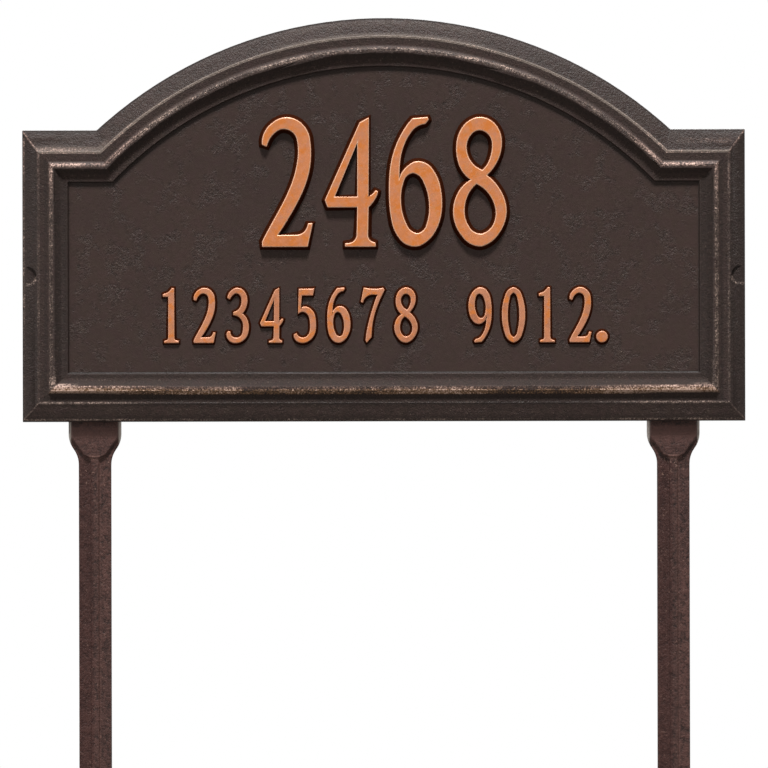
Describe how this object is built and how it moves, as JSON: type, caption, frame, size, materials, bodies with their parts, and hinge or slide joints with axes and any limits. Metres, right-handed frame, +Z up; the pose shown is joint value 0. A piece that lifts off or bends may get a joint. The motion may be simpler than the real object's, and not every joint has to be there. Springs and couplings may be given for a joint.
{
  "type": "house number plaque",
  "caption": "Arched cast plate with square shoulders, a moulded border and raised numbers, screwed to two lawn stakes that hold it upright above the ground",
  "frame": {"origin": "midway between the points of the two stakes, in the plane of the plate's flat back", "axes": "+X to the right as seen from the front, +Y out of the back, +Z up along the stakes; the numbers face -Y"},
  "size_m": [0.432, 0.0208, 0.6382],
  "materials": {
    "rubbed_bronze": "sand-cast, painted dark bronze, copper rubbed on the raised edges and number faces",
    "brown_paint": "sand-cast, matt red-brown paint with a fine grain",
    "screw_steel": "plain zinc-plated steel"
  },
  "bodies": {
    "root": {"plaque": "rubbed_bronze", "stake_left": "brown_paint", "stake_right": "brown_paint", "screw_left_lower": "screw_steel", "screw_left_upper": "screw_steel", "screw_right_lower": "screw_steel", "screw_right_upper": "screw_steel"}
  },
  "joints": []
}
